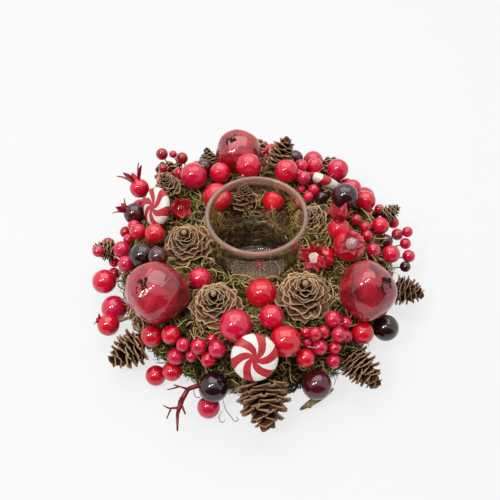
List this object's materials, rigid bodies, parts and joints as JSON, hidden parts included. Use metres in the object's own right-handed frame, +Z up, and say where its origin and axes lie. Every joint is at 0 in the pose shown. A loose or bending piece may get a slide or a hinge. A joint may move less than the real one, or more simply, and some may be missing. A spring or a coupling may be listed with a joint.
{
  "type": "candle ring",
  "caption": "Wreath of moss, pine cones, berries and varnished fruit round a clear glass votive cup. Stands on a table; the cup lifts out and holds the candle.",
  "frame": {"origin": "centre of the glass cup's foot, on the table", "axes": "+Z up along the cup's axis; the front of the ring faces -Y and its right side +X"},
  "size_m": [0.2417, 0.2591, 0.0741],
  "materials": {
    "cup_glass": "clear, polished",
    "hoop": "raw bent rod",
    "tie": "dark lacquered wire",
    "wire": "dark lacquered wire",
    "sprig_stem": "matt",
    "pick": "raw",
    "twig": "bark, cut end",
    "moss": "dry curly moss",
    "large_berry": "high gloss",
    "small_berry": "high gloss",
    "dark_berry": "high gloss",
    "sprig_berry": "high gloss",
    "pine_cone": "dry, matt",
    "pomegranate": "clear varnish over mottled crimson",
    "calyx": "matt, crumbly",
    "candy": "smooth, striped",
    "crowned_red": "high gloss",
    "crowned_dark": "high gloss"
  },
  "bodies": {
    "ring": {"berry_wires": "wire", "candy_front": "candy", "candy_left": "candy", "candy_right": "candy", "cone_back_inner": "pine_cone", "cone_back_left": "pine_cone", "cone_back_right": "pine_cone", "cone_front_left_upright": "pine_cone", "cone_front_low": "pine_cone", "cone_front_right_low": "pine_cone", "cone_front_right_upright": "pine_cone", "cone_left_low": "pine_cone", "cone_left_upright": "pine_cone", "cone_right_inner": "pine_cone", "cone_right_low": "pine_cone", "cones_back_low": "pine_cone", "cones_small": "pine_cone", "crowned_berry_front_dark": "crowned_dark", "crowned_berry_left_back": "crowned_red", "crowned_berry_left_dark": "crowned_dark", "crowned_berry_left_low": "crowned_red", "crowned_berry_left_small": "crowned_red", "crowned_berry_right_large": "crowned_red", "crowned_berry_right_small": "crowned_red", "crowned_berry_right_upright": "crowned_red", "cut_twig": "twig", "dark_berries_back": "dark_berry", "dark_berries_front_right": "dark_berry", "dark_berries_left": "dark_berry", "dark_berries_right": "dark_berry", "hoop_rod_inner": "hoop", "hoop_rod_outer": "hoop", "hoop_rod_top": "hoop", "hoop_ties": "tie", "large_berries_back_left": "large_berry", "large_berries_back_right": "large_berry", "large_berries_front_left": "large_berry", "large_berries_front_right": "large_berry", "large_berries_left": "large_berry", "large_berries_right": "large_berry", "moss_clump_1": "moss", "moss_clump_2": "moss", "moss_clump_3": "moss", "moss_clump_4": "moss", "moss_clump_5": "moss", "moss_clump_6": "moss", "pomegranate_back": "pomegranate", "pomegranate_calyxes": "calyx", "pomegranate_left": "pomegranate", "pomegranate_right": "pomegranate", "small_berries_back_left": "small_berry", "small_berries_back_right": "small_berry", "small_berries_front_left": "small_berry", "small_berries_front_right": "small_berry", "small_berries_left": "small_berry", "small_berries_right": "small_berry", "sprig_berries": "sprig_berry", "sprig_stems": "sprig_stem", "wooden_picks": "pick"},
    "cup": {"glass_cup": "cup_glass"}
  },
  "joints": [
    {"name": "cup_lift", "type": "slide", "parent": "ring", "child": "cup", "axis": [0, 0, 1], "range_m": [0, 0.08]}
  ]
}
